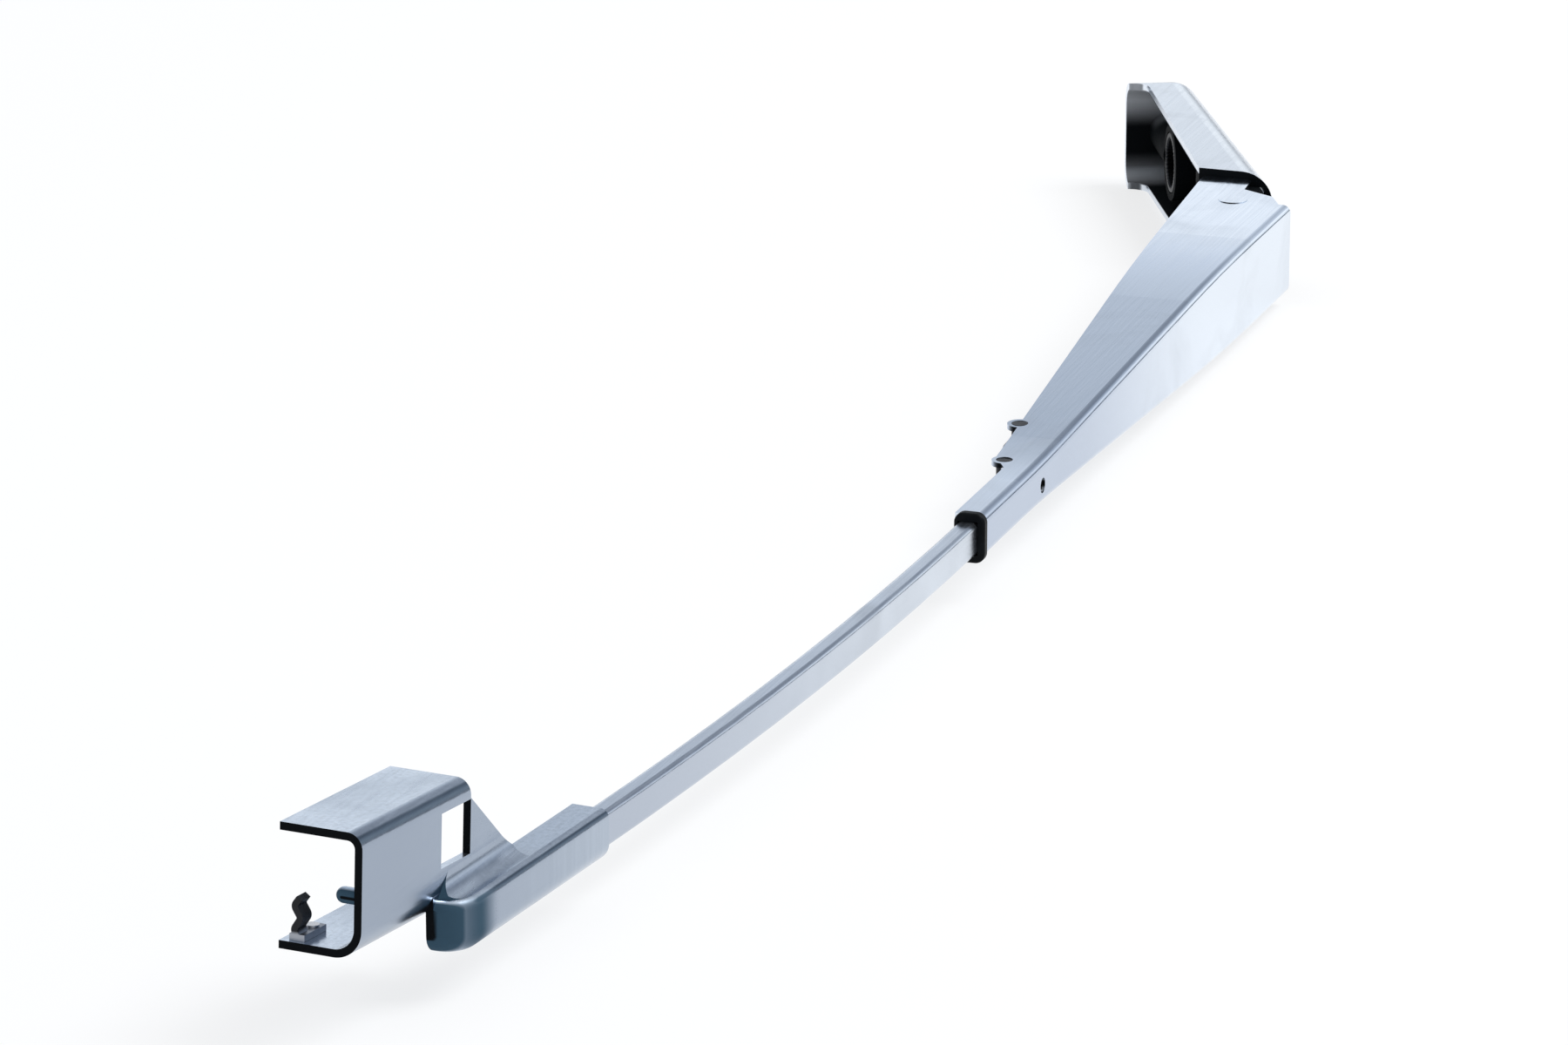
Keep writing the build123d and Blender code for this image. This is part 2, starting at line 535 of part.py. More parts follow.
def sleeve_blend():
    """Hollow fillet between the sleeve's upper side and the gusset."""
    high = sleeve_high + SLEEVE_BLEND
    out = seat_outer + SLEEVE_BLEND
    outline = [
        Line((seat_outer, high), (seat_outer - CLIP_SHEET, high)),
        Line((seat_outer - CLIP_SHEET, high), (seat_outer - CLIP_SHEET, 0)),
        Line((seat_outer - CLIP_SHEET, 0), (out, 0)),
        Line((out, 0), (out, sleeve_high)),
        CenterArc((out, high), SLEEVE_BLEND, 180, 90),
    ]
    across = Plane(origin=(0, 0, 0), x_dir=(0, 1, 0), z_dir=(1, 0, 0))
    return extrude(across * make_face(outline), SLEEVE_LENGTH)


def tongue_seat():
    """Middle of the tongue's rivet on the lower flange's inner face, in the saddle's frame."""
    x = SADDLE_LENGTH - TONGUE_INSET - TONGUE_WIDTH / 2 - TONGUE_FOOT / 2
    return x, -TONGUE_OUT, -SADDLE_WIDTH / 2 + CLIP_SHEET


def tongue_rivet_hole():
    """Hole through the lower flange and the tongue's foot."""
    x, y, z = tongue_seat()
    return Pos(x, y, z) * Cylinder(LATCH_RIVET_DIAMETER / 2 + FIXED_GAP, 6 * CLIP_SHEET)


def latch_tongue():
    """Spring strip on the lower flange, bent up into an S that snaps behind the blade's bridge."""
    x, y, z = tongue_seat()
    base = z + FIXED_GAP + TONGUE_SHEET / 2
    path = FilletPolyline(
        (y, base),
        (y - TONGUE_SWAY / 2, base + TONGUE_HEIGHT * 0.2),
        (y + TONGUE_SWAY / 2, base + TONGUE_HEIGHT * 0.5),
        (y - TONGUE_SWAY / 2, base + TONGUE_HEIGHT * 0.8),
        (y + TONGUE_SWAY / 4, base + TONGUE_HEIGHT),
        radius=TONGUE_BEND,
    )
    strip = trace(path, TONGUE_SHEET)
    middle = SADDLE_LENGTH - TONGUE_INSET
    across = Plane(origin=(middle, 0, 0), x_dir=(0, 1, 0), z_dir=(1, 0, 0))
    tongue = extrude(across * strip, TONGUE_WIDTH / 2, both=True)
    foot_length = TONGUE_FOOT + TONGUE_WIDTH
    foot = Pos(middle - TONGUE_FOOT / 2, y, base) * Box(foot_length, TONGUE_FOOT_WIDTH, TONGUE_SHEET)
    above = Pos(middle, y, base + TONGUE_HEIGHT) * Box(2 * foot_length, 8 * TONGUE_SWAY, 2 * TONGUE_HEIGHT)
    return (tongue & above) + foot - tongue_rivet_hole()


def latch_rivet():
    """Small rivet through the tongue's foot and the lower flange."""
    x, y, z = tongue_seat()
    foot_top = z + FIXED_GAP + TONGUE_SHEET + FIXED_GAP
    bottom = -SADDLE_WIDTH / 2
    shank = Pos(x, y, (bottom + foot_top) / 2) * Cylinder(LATCH_RIVET_DIAMETER / 2, foot_top - bottom)
    head = Pos(x, y, foot_top + LATCH_RIVET_HEAD / 2)
    return shank + head * Cylinder(LATCH_HEAD_DIAMETER / 2, LATCH_RIVET_HEAD)


pieces = {
    "head_shell": head_place * head_shell(),
    "hub_bush": head_place * hub_bush(),
    "clamp_screw": head_place * clamp_screw(),
    "spring_pin": head_place * spring_pin(),
    "hinge_pin": arm_place * hinge_pin(),
    "hinge_washer_upper": arm_place * hinge_washer(1),
    "hinge_washer_lower": arm_place * hinge_washer(-1),
    "arm_channel": arm_place * arm_channel(),
    "tension_spring": arm_place * tension_spring(),
    "spring_anchor": arm_place * flush_pin(ANCHOR_STATION, ANCHOR_HEIGHT, ANCHOR_DIAMETER),
    "bar_pin": arm_place * flush_pin(BAR_PIN_STATION, bar_pin_height(), BAR_PIN_DIAMETER),
    "web_rivet": arm_place * web_rivet(),
    "arm_bar": arm_place * arm_bar(),
    "neck_collar": arm_place * neck_collar(),
    "saddle_clip": tip_place * saddle_clip(),
    "latch_tongue": saddle_place * latch_tongue(),
    "latch_rivet": saddle_place * latch_rivet(),
}

os.makedirs("parts", exist_ok=True)
for name, piece in pieces.items():
    export_step(piece, f"parts/{name}.step")
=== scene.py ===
import json
import math

import bpy
import numpy as np
from mathutils import Matrix, Vector


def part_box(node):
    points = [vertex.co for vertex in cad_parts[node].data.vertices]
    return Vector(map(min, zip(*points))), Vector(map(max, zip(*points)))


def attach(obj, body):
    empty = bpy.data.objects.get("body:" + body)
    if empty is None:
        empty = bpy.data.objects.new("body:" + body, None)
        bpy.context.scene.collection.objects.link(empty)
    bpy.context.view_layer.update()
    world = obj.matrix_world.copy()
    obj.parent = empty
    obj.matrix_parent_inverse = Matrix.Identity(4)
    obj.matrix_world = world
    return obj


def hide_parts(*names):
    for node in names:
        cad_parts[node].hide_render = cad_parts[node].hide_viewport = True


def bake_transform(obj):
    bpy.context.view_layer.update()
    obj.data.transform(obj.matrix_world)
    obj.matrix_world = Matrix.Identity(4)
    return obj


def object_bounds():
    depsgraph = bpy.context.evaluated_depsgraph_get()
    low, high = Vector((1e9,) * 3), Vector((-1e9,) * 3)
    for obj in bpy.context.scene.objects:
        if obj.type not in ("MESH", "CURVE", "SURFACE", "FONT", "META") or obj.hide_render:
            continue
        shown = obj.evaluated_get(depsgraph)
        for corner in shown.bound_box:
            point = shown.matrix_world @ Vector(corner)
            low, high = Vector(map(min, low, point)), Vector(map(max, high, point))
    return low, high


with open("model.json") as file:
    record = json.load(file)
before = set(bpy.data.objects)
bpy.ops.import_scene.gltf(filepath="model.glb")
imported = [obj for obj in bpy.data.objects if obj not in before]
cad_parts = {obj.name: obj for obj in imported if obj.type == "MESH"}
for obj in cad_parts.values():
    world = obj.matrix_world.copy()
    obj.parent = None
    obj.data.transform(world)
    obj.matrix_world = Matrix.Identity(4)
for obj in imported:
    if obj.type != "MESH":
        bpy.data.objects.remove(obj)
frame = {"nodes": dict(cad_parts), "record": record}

cad_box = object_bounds()
record = frame["record"]
nodes = frame["nodes"]
MM = 0.001

# Camera, from the photograph's perspective
PHOTO_WIDTH = 1800
SENSOR = 36.0
FOCAL_PIXELS = 8349.0
CAMERA_AT = (1.2337, 0.3432, 0.3278)
CAMERA_AIM = (0.19396, -0.01110, -0.01265)
CAMERA_ROLL = math.radians(0.04)

# Sizes that the finishes and new pieces share with the solids, millimetres and degrees
HEAD_BEND = 25.0
HUB_TO_HINGE = 57.0
HEAD_WIDTH = 17.6
END_WIDTH = 20.2
HEAD_END = 24.0
HEAD_CROWN = 8.2
END_CROWN = 5.0
HEAD_WALL = 1.3
HEAD_SHOULDER = 5.0
BAR_TURN = 6.35
WIRE = 1.3
COIL_DIAMETER = 7.2
COIL_PITCH = 2.9
COIL_TURNS = 17
COIL_START = 44.0
COIL_RISE = 2.6
HOOK_JOG = 5.0
HOOK_GAP = 0.06
ANCHOR_DIAMETER = 2.6
SPRING_PIN_DIAMETER = 2.8
HUB_BORE = 8.4
BUSH_WALL = 1.4
BUSH_LENGTH = 6.4
BUSH_BEVEL = 0.25
TEETH = 40
TOOTH = 0.35
HOOK_SWING = 250.0

# Polishing marks: scales along and across the arm, detail, and the noise levels between which haze grows
LINE_SCALE = (40.0, 1500.0, 1500.0)
LINE_DETAIL = 3.0
LINE_BREAKUP = 0.6
RIPPLE_SCALE = (30.0, 110.0, 110.0)
RIPPLE_DETAIL = 1.0
HAZE_LIMITS = (0.42, 0.7)
# Handling marks: detail, swirl, and the noise levels between which a patch turns dull
SMUDGE_DETAIL = 4.0
SMUDGE_BREAKUP = 0.55
SMUDGE_SWIRL = 0.6
SMUDGE_LIMITS = (0.48, 0.74)
# Cosine from which a face counts as looking fully along an axis
FULL_COSINE = 0.99

# Chrome: sheen of its dull places, marks, and the shares of the tint under smudges and bands
CHROME_SPECULAR = 0.05
CHROME_RIPPLE = 0.5
CHROME_SMUDGE = 45.0
SMUDGED_SHARE = 0.88
BANDED_SHARE = 0.84
# Roughness that haze, smudges and dullness add, metal that dullness takes away, and the depth of the marks
HAZE_ROUGHNESS = 0.05
SMUDGE_ROUGHNESS = 0.07
DULL_ROUGHNESS = 0.45
DULL_METAL = 0.97
CHROME_BUMP = 0.25
MARK_DEPTH = 0.0001
# Dull tones: near-black sheared ends, partly their dull cut and partly a painted dark reflection, also
# painted shade in the head's hollow; and painted shade on the clip's sheet where it turns towards its end
DARK_END_AND_SHADE_TONE = (0.003, 0.004, 0.005)
SHEARED_START = 0.97
TURNED_SHADE_TONE = (0.040, 0.080, 0.116)
TURNED_SHADE_GAIN = 1.7
# Painted shade in the head's hollow starts between these depths outside its inner wall, millimetres
HOLLOW_CLEAR = 0.3
HOLLOW_FULL = 0.1
# Painted light in the hollow's far corners, a lighter grey over the hollow's painted shade: its tone, its
# limits along the head and to either side, millimetres, and the lower corner's share of it
CORNER_PAINTED_LIGHT = (0.46, 0.47, 0.49)
CORNER_ALONG = (-16.0, -21.0)
CORNER_UPPER = (1.0, 7.0)
CORNER_LOWER = (-3.5, -8.5)
CORNER_LOWER_SHARE = 0.4
# Painted dark reflection along the clip's outer folds: its middle's normal, the cosine where it starts, and
# its tint
FOLD_AXIS = (0.0, 0.80, 0.60)
FOLD_START = 0.94
FOLD_REFLECTION_TONE = (0.11, 0.15, 0.20)
# Middle and half height of the hollow blend above the sleeve, which has no such line, millimetres
BLEND_MIDDLE = 5.3
BLEND_HALF = 1.75
# Painted shade behind the sleeve's nose: its limits along and across the bar, millimetres
NOSE_FADE = 400.5
NOSE_FULL = 406.0
NOSE_INNER = 63.5
NOSE_OUTER = 65.5

# Small steel pieces
STEEL_RIPPLE = 0.4
STEEL_SMUDGE = 260.0
STEEL_SMUDGED_SHARE = 0.72
STEEL_SMUDGE_ROUGHNESS = 0.15
STEEL_BUMP = 0.3
BLACK_STEEL = (0.028, 0.029, 0.032)
BLACK_STEEL_ROUGHNESS = 0.38
# Latch tongue's lighter foot under its painted shade: its colour and the heights between which it ends,
# millimetres
UNSHADED_FOOT = ((0.36, 0.38, 0.42), 4.2, 4.6)

# Collar
PLASTIC_TONE = (0.002, 0.003, 0.004)
PLASTIC_BLOOM = (0.006, 0.008, 0.010)
PLASTIC_SPECULAR = 0.07
PLASTIC_SMUDGE = 300.0
PLASTIC_ROUGHNESS = 0.3
GRAIN_SCALE = 2600.0
GRAIN_DETAIL = 2.0
GRAIN_ROUGHNESS = 0.2
GRAIN_BUMP = 0.2

# Stage, metres and watts
FLOOR_REACH = 8.0
FLOOR_TONE = (0.88, 0.89, 0.9, 1.0)
FLOOR_GLOW = 0.72
KEY_AT = (-0.2, 0.9, 1.4)
KEY_AIM = (0.2, 0.0, 0.0)
KEY_SIZE = 0.9
KEY_POWER = 18.0


def centre(node):
    """Middle of a node's box in the row frame, metres."""
    low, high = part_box(node)
    return (np.array(low) + np.array(high)) / 2


def add_node(tree, kind, settings=None, inputs=None):
    """One shader node with its settings and its unlinked input values."""
    node = tree.nodes.new(kind)
    for name, value in (settings or {}).items():
        setattr(node, name, value)
    for name, value in (inputs or {}).items():
        node.inputs[name].default_value = value
    return node


def math_node(tree, operation, first, second=None, clamp=False):
    """Math node between two sockets or numbers; returns its value socket."""
    node = add_node(tree, "ShaderNodeMath", {"operation": operation, "use_clamp": clamp})
    for place, value in ((0, first), (1, second)):
        if value is None:
            continue
        if isinstance(value, (int, float)):
            node.inputs[place].default_value = value
        else:
            tree.links.new(value, node.inputs[place])
    return node.outputs[0]


def ramp_node(tree, factor, stops, interpolation="LINEAR"):
    """Colour ramp of (place, colour) stops driven by a socket; returns its colour socket."""
    node = add_node(tree, "ShaderNodeValToRGB")
    ramp = node.color_ramp
    ramp.interpolation = interpolation
    while len(ramp.elements) < len(stops):
        ramp.elements.new(0.5)
    for element, (place, colour) in zip(ramp.elements, stops):
        element.position = place
        element.color = (*colour, 1.0)
    tree.links.new(factor, node.inputs[0])
    return node.outputs[0]


def split_node(tree, vector):
    """X, Y and Z sockets of a vector socket."""
    node = add_node(tree, "ShaderNodeSeparateXYZ")
    tree.links.new(vector, node.inputs[0])
    return node.outputs


def rise_node(tree, value, low, high, smooth=False):
    """0 below low, 1 above high and a rise between, even or smooth; low and high are sockets or numbers."""
    interpolation = "SMOOTHSTEP" if smooth else "LINEAR"
    node = add_node(tree, "ShaderNodeMapRange", {"interpolation_type": interpolation})
    tree.links.new(value, node.inputs["Value"])
    for name, limit in (("From Min", low), ("From Max", high)):
        if isinstance(limit, (int, float)):
            node.inputs[name].default_value = limit
        else:
            tree.links.new(limit, node.inputs[name])
    return node.outputs[0]


def new_group(name, sockets_in, sockets_out):
    """Empty shader group with named sockets; returns it with its input and output nodes."""
    group = bpy.data.node_groups.new(name, "ShaderNodeTree")
    for socket, kind in sockets_in:
        group.interface.new_socket(socket, in_out="INPUT", socket_type=kind)
    for socket, kind in sockets_out:
        group.interface.new_socket(socket, in_out="OUTPUT", socket_type=kind)
    return group, group.nodes.new("NodeGroupInput"), group.nodes.new("NodeGroupOutput")


def polish_marks_group():
    """Marks of a polishing wheel: fine lines drawn out along X and a slow ripple of the surface.

    Height = lines * Lines + ripple * Ripple, and Haze grows where the lines are dense.
    """
    group, inlet, outlet = new_group(
        "polish_marks",
        [("Vector", "NodeSocketVector"), ("Lines", "NodeSocketFloat"), ("Ripple", "NodeSocketFloat")],
        [("Height", "NodeSocketFloat"), ("Haze", "NodeSocketFloat")],
    )
    stretch = add_node(group, "ShaderNodeMapping", inputs={"Scale": LINE_SCALE})
    lines = add_node(
        group, "ShaderNodeTexNoise", inputs={"Scale": 1.0, "Detail": LINE_DETAIL, "Roughness": LINE_BREAKUP},
    )
    slow = add_node(group, "ShaderNodeMapping", inputs={"Scale": RIPPLE_SCALE})
    ripple = add_node(group, "ShaderNodeTexNoise", inputs={"Scale": 1.0, "Detail": RIPPLE_DETAIL})
    group.links.new(inlet.outputs["Vector"], stretch.inputs["Vector"])
    group.links.new(inlet.outputs["Vector"], slow.inputs["Vector"])
    group.links.new(stretch.outputs[0], lines.inputs["Vector"])
    group.links.new(slow.outputs[0], ripple.inputs["Vector"])
    fine = math_node(group, "MULTIPLY", lines.outputs[0], inlet.outputs["Lines"])
    broad = math_node(group, "MULTIPLY", ripple.outputs[0], inlet.outputs["Ripple"])
    group.links.new(math_node(group, "ADD", fine, broad), outlet.inputs["Height"])
    group.links.new(rise_node(group, lines.outputs[0], *HAZE_LIMITS), outlet.inputs["Haze"])
    return group


def smudge_group():
    """Handling marks: cloudy patches broken up by a finer cloud, 0 where clean and 1 where dull."""
    group, inlet, outlet = new_group(
        "smudges",
        [("Vector", "NodeSocketVector"), ("Size", "NodeSocketFloat")],
        [("Mask", "NodeSocketFloat")],
    )
    cloud = add_node(
        group, "ShaderNodeTexNoise",
        inputs={"Detail": SMUDGE_DETAIL, "Roughness": SMUDGE_BREAKUP, "Distortion": SMUDGE_SWIRL},
    )
    group.links.new(inlet.outputs["Vector"], cloud.inputs["Vector"])
    group.links.new(inlet.outputs["Size"], cloud.inputs["Scale"])
    group.links.new(rise_node(group, cloud.outputs[0], *SMUDGE_LIMITS), outlet.inputs["Mask"])
    return group


def cut_edge_group():
    """Faces that look along an axis: 1 where the normal lies along Axis, 0 where it turns away from it.

    The mask rises from Start to 1 with the cosine between the two. Both says how far the opposite way counts.
    """
    group, inlet, outlet = new_group(
        "cut_edges",
        [("Axis", "NodeSocketVector"), ("Start", "NodeSocketFloat"), ("Both", "NodeSocketFloat")],
        [("Mask", "NodeSocketFloat")],
    )
    place = add_node(group, "ShaderNodeTexCoord")
    along = add_node(group, "ShaderNodeVectorMath", {"operation": "DOT_PRODUCT"})
    group.links.new(place.outputs["Normal"], along.inputs[0])
    group.links.new(inlet.outputs["Axis"], along.inputs[1])
    cosine = along.outputs["Value"]
    opposite = math_node(group, "MULTIPLY", cosine, -1.0)
    back = math_node(group, "MULTIPLY", opposite, inlet.outputs["Both"])
    either = math_node(group, "MAXIMUM", cosine, back)
    mask = rise_node(group, either, inlet.outputs["Start"], FULL_COSINE, smooth=True)
    group.links.new(mask, outlet.inputs["Mask"])
    return group


def painted_side_shade_group():
    """Painted shade: the sides made darker than the top, for the light they miss.

    Mask = |normal's Y| times a smooth rise from 0 at From to 1 at To along X.
    """
    group, inlet, outlet = new_group(
        "painted_side_shade",
        [("Vector", "NodeSocketVector"), ("From", "NodeSocketFloat"), ("To", "NodeSocketFloat")],
        [("Mask", "NodeSocketFloat")],
    )
    place = add_node(group, "ShaderNodeTexCoord")
    side = math_node(group, "ABSOLUTE", split_node(group, place.outputs["Normal"])["Y"])
    x = split_node(group, inlet.outputs["Vector"])["X"]
    rise = rise_node(group, x, inlet.outputs["From"], inlet.outputs["To"], smooth=True)
    group.links.new(math_node(group, "MULTIPLY", side, rise), outlet.inputs["Mask"])
    return group


POLISH = polish_marks_group()
SMUDGES = smudge_group()
CUT_EDGES = cut_edge_group()
PAINTED_SIDE_SHADE = painted_side_shade_group()


def place_group(tree, group, vector=None, values=None):
    """A shared effect in a material, with this material's own values."""
    node = tree.nodes.new("ShaderNodeGroup")
    node.node_tree = group
    for name, value in (values or {}).items():
        node.inputs[name].default_value = value
    if vector is not None:
        tree.links.new(vector, node.inputs["Vector"])
    return node


def new_material(name):
    """Empty material with a Principled shader; returns material, tree, shader and Object coordinates."""
    material = bpy.data.materials.new(name)
    material.use_nodes = True
    tree = material.node_tree
    shader = tree.nodes["Principled BSDF"]
    place = add_node(tree, "ShaderNodeTexCoord")
    return material, tree, shader, place.outputs["Object"]


def mix_colour(tree, factor, first, second):
    """Colour mix of two colours or sockets by a socket; returns the colour socket."""
    node = add_node(tree, "ShaderNodeMix", {"data_type": "RGBA"})
    tree.links.new(factor, node.inputs[0])
    for place, value in ((6, first), (7, second)):
        if isinstance(value, tuple):
            node.inputs[place].default_value = (*value, 1.0)
        else:
            tree.links.new(value, node.inputs[place])
    return node.outputs[2]


def add_bump(tree, shader, height, strength, distance):
    """Bump node from a height socket into the shader's normal."""
    bump = add_node(tree, "ShaderNodeBump", inputs={"Strength": strength, "Distance": distance})
    tree.links.new(height, bump.inputs["Height"])
    tree.links.new(bump.outputs[0], shader.inputs["Normal"])


def turned_place(tree, place, degrees):
    """Object coordinates turned about X, Y and Z; returns the vector socket."""
    angles = tuple(math.radians(part) for part in degrees)
    turn = add_node(tree, "ShaderNodeMapping", inputs={"Rotation": angles})
    tree.links.new(place, turn.inputs["Vector"])
    return turn.outputs[0]


def line_along(tree, x, at_end, at_hinge):
    """Length that changes evenly along the head from its free end to its hinge.

    The two lengths are in millimetres, and the socket that it returns in metres.
    """
    rise = (at_hinge - at_end) / (HUB_TO_HINGE + HEAD_END)
    at_hub = (at_end + rise * HEAD_END) * MM
    return math_node(tree, "ADD", math_node(tree, "MULTIPLY", x, rise), at_hub)


def head_hollow_shade(tree, place):
    """Painted shade: 1 on the head's inside and its knuckle, 0 on the outside.

    Distance to the outer form of a block rounded by R: length of max(q, 0) minus R, where q holds |z|, y
    and -x less the block's half width, outer face and end, each less R. Deeper than the wall is inside.
    """
    x, y, z = split_node(tree, turned_place(tree, place, (0.0, 0.0, -HEAD_BEND)))
    crown = line_along(tree, x, END_CROWN - HEAD_SHOULDER, HEAD_CROWN - HEAD_SHOULDER)
    side = line_along(tree, x, END_WIDTH / 2 - HEAD_SHOULDER, HEAD_WIDTH / 2 - HEAD_SHOULDER)
    wide = math_node(tree, "SUBTRACT", math_node(tree, "ABSOLUTE", z), side)
    high = math_node(tree, "SUBTRACT", y, crown)
    behind = math_node(tree, "MULTIPLY", x, -1.0)
    back = math_node(tree, "SUBTRACT", behind, (HEAD_END - HEAD_SHOULDER) * MM)
    join = add_node(tree, "ShaderNodeCombineXYZ")
    for socket, value in zip(join.inputs, (wide, high, back)):
        tree.links.new(math_node(tree, "MAXIMUM", value, 0.0), socket)
    size = add_node(tree, "ShaderNodeVectorMath", {"operation": "LENGTH"})
    tree.links.new(join.outputs[0], size.inputs[0])
    inside = HEAD_SHOULDER - HEAD_WALL
    return rise_node(tree, size.outputs["Value"], (inside + HOLLOW_CLEAR) * MM, (inside + HOLLOW_FULL) * MM)


def span_rise(tree, value, span):
    """Smooth rise of a length from 0 to 1 between two limits in millimetres."""
    start, end = span
    return rise_node(tree, value, start * MM, end * MM, smooth=True)


def painted_light_corners(tree, place):
    """Share of painted light in the hollow's far corners: a rise towards the free end times a rise to either
    side.
    """
    x, _, z = split_node(tree, turned_place(tree, place, (0.0, 0.0, -HEAD_BEND)))
    along = span_rise(tree, x, CORNER_ALONG)
    upper = span_rise(tree, z, CORNER_UPPER)
    lower = span_rise(tree, z, CORNER_LOWER)
    aside = math_node(tree, "MAXIMUM", upper, math_node(tree, "MULTIPLY", lower, CORNER_LOWER_SHARE))
    return math_node(tree, "MULTIPLY", along, aside)


def painted_nose_shade(tree, place):
    """Painted shade that reaches back from the sleeve's nose along its outer side and fades out.

    It is the painted side shade's mask from NOSE_FADE to NOSE_FULL along the bar, times a rise across the bar
    that leaves the saddle's web bright.
    """
    turned = turned_place(tree, place, (0.0, 0.0, BAR_TURN))
    outer = rise_node(tree, split_node(tree, turned)["Y"], NOSE_INNER * MM, NOSE_OUTER * MM)
    along = place_group(tree, PAINTED_SIDE_SHADE, turned, {"From": NOSE_FADE * MM, "To": NOSE_FULL * MM})
    return math_node(tree, "MULTIPLY", along.outputs["Mask"], outer)


def painted_fold_reflection(tree, place):
    """Painted dark reflection: 1 along the middle of the clip's outer folds, 0 elsewhere and in the hollow
    blend above the sleeve.
    """
    fold = place_group(tree, CUT_EDGES, values={"Axis": FOLD_AXIS, "Start": FOLD_START, "Both": 0.0})
    height = math_node(tree, "SUBTRACT", split_node(tree, place)["Z"], BLEND_MIDDLE * MM)
    outside = math_node(tree, "GREATER_THAN", math_node(tree, "ABSOLUTE", height), BLEND_HALF * MM)
    return math_node(tree, "MULTIPLY", fold.outputs["Mask"], outside)


def shaded(colour, share):
    """Colour with the given share of its light."""
    return tuple(share * part for part in colour)


def polished_chrome(
    name, tint, haze, cut, lines=0.5, hollow=False, streaks=False, dull_until=None, side_shade=None,
):
    """Bright plated steel: wheel marks along the arm, faint handling marks, and dull ends and insides painted
    dark.

    cut holds the ends' axis, the cosine where their dullness starts and whether both ends count; the ends'
    near-black is partly their dull cut and partly a painted dark reflection. A hollow piece is the head: it
    is painted with shade inside and with a lighter grey, painted light, in its far corners. A streaked sheet
    has bands across it, a painted dark reflection on its folds, and painted shade that turns it dark blue
    before it turns black. Past dull_until along X the ends stay bright. The last argument holds the places
    along X where the sides' painted shade starts and ends, millimetres, and the tint painted there.
    """
    material, tree, shader, place = new_material(name)
    shader.inputs["Specular IOR Level"].default_value = CHROME_SPECULAR
    marks = place_group(tree, POLISH, place, {"Lines": lines, "Ripple": CHROME_RIPPLE})
    hands = place_group(tree, SMUDGES, place, {"Size": CHROME_SMUDGE})
    axis, start, both = cut
    ends = place_group(tree, CUT_EDGES, values={"Axis": axis, "Start": start, "Both": both})
    # Dull ends, darkened partly as a painted dark reflection; the head's hollow adds painted shade.
    dull_and_shade = ends.outputs["Mask"]
    if hollow:
        dull_and_shade = math_node(tree, "MAXIMUM", dull_and_shade, head_hollow_shade(tree, place))
    if dull_until is not None:
        before = math_node(tree, "LESS_THAN", split_node(tree, place)["X"], dull_until)
        dull_and_shade = math_node(tree, "MULTIPLY", dull_and_shade, before)
    plate = mix_colour(tree, hands.outputs["Mask"], tint, shaded(tint, SMUDGED_SHARE))
    if streaks:
        across = turned_place(tree, place, (0.0, 90.0, 0.0))
        bands = place_group(tree, POLISH, across, {"Lines": 1.0, "Ripple": 0.0})
        plate = mix_colour(tree, bands.outputs["Haze"], plate, shaded(tint, BANDED_SHARE))
    # Painted shade on the sides, growing along X to a darker tint.
    if side_shade:
        start_x, end_x, side_shade_tone = side_shade
        side_shade_mask = place_group(tree, PAINTED_SIDE_SHADE, place, {"From": start_x * MM, "To": end_x * MM})
        plate = mix_colour(tree, side_shade_mask.outputs["Mask"], plate, side_shade_tone)
    if streaks:
        # Painted dark reflection along the clip's outer folds.
        plate = mix_colour(tree, painted_fold_reflection(tree, place), plate, FOLD_REFLECTION_TONE)
        # Painted shade: the clip's sheet turns dark blue where it turns towards its end and behind the
        # sleeve's nose.
        dull_and_shade = math_node(tree, "MULTIPLY", dull_and_shade, TURNED_SHADE_GAIN, clamp=True)
        dull_and_shade = math_node(tree, "MAXIMUM", dull_and_shade, painted_nose_shade(tree, place))
        turned = mix_colour(tree, dull_and_shade, plate, TURNED_SHADE_TONE)
        # Sheared ends go near-black: partly their dull cut, partly a painted dark reflection.
        sheared = place_group(tree, CUT_EDGES, values={"Axis": axis, "Start": SHEARED_START, "Both": both})
        colour = mix_colour(tree, sheared.outputs["Mask"], turned, DARK_END_AND_SHADE_TONE)
    else:
        colour = mix_colour(tree, dull_and_shade, plate, DARK_END_AND_SHADE_TONE)
    if hollow:
        # Painted light: the hollow's far corners are lifted to a lighter grey.
        corners = math_node(tree, "MULTIPLY", painted_light_corners(tree, place), dull_and_shade)
        colour = mix_colour(tree, corners, colour, CORNER_PAINTED_LIGHT)
    tree.links.new(colour, shader.inputs["Base Color"])
    metal_lost = math_node(tree, "MULTIPLY", dull_and_shade, DULL_METAL)
    tree.links.new(math_node(tree, "SUBTRACT", 1.0, metal_lost), shader.inputs["Metallic"])
    rough = haze
    for mask, gain in (
        (marks.outputs["Haze"], HAZE_ROUGHNESS),
        (hands.outputs["Mask"], SMUDGE_ROUGHNESS),
        (dull_and_shade, DULL_ROUGHNESS),
    ):
        rough = math_node(tree, "ADD", math_node(tree, "MULTIPLY", mask, gain), rough)
    tree.links.new(rough, shader.inputs["Roughness"])
    add_bump(tree, shader, marks.outputs["Height"], CHROME_BUMP, MARK_DEPTH)
    return material


